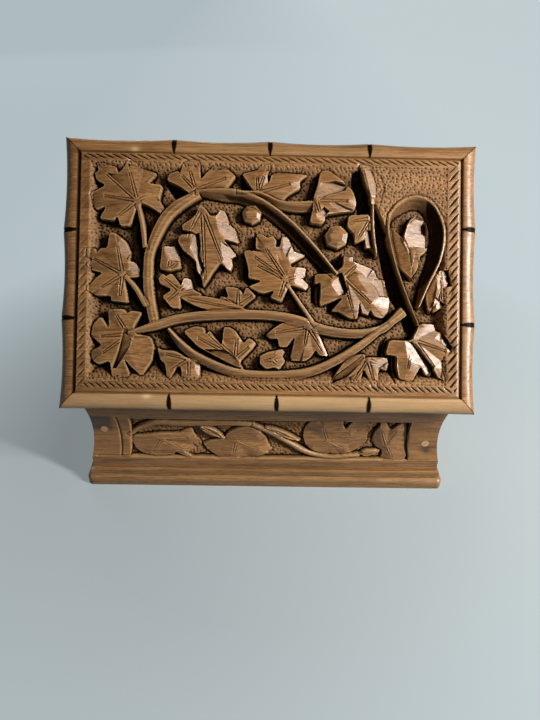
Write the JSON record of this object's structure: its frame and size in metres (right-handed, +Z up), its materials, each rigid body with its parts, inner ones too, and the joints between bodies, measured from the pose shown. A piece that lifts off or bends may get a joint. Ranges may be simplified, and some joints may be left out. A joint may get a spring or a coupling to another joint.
{
  "type": "slope-front letter box",
  "caption": "Upright wooden letter box with a low coved front and a sloping hinged lid, carved in relief with leaves and vines; holds letters and keepsakes.",
  "frame": {"origin": "centre of the base board's flat underside", "axes": "+X to the right seen from the front, along the lid's long side; +Y from front to back; +Z up"},
  "size_m": [0.1998, 0.0856, 0.1622],
  "materials": {
    "walnut": "oiled, hand planed",
    "carved_walnut": "oiled, carved in relief, dark in the recesses",
    "hinge_brass": "dull, tarnished",
    "nail_iron": "dark, rusty",
    "nail_filler": "dull wood filler"
  },
  "bodies": {
    "box": {"base_board": "walnut", "front_board": "carved_walnut", "left_side": "walnut", "right_side": "walnut", "back_board": "walnut", "left_hinge_back_leaf": "hinge_brass", "left_hinge_pin": "hinge_brass", "right_hinge_back_leaf": "hinge_brass", "right_hinge_pin": "hinge_brass", "back_leaf_screws": "hinge_brass", "front_nails": "nail_iron", "back_nails": "nail_iron", "base_nails": "nail_iron", "nail_plugs": "nail_filler"},
    "lid": {"lid_board": "carved_walnut", "left_hinge_lid_leaf": "hinge_brass", "right_hinge_lid_leaf": "hinge_brass", "lid_leaf_screws": "hinge_brass"}
  },
  "joints": [
    {"name": "lid_hinge", "type": "hinge", "parent": "box", "child": "lid", "pos_m": [0, 0.03797, 0.15434], "axis": [-1, 0, 0], "range_deg": [0, 145]}
  ]
}
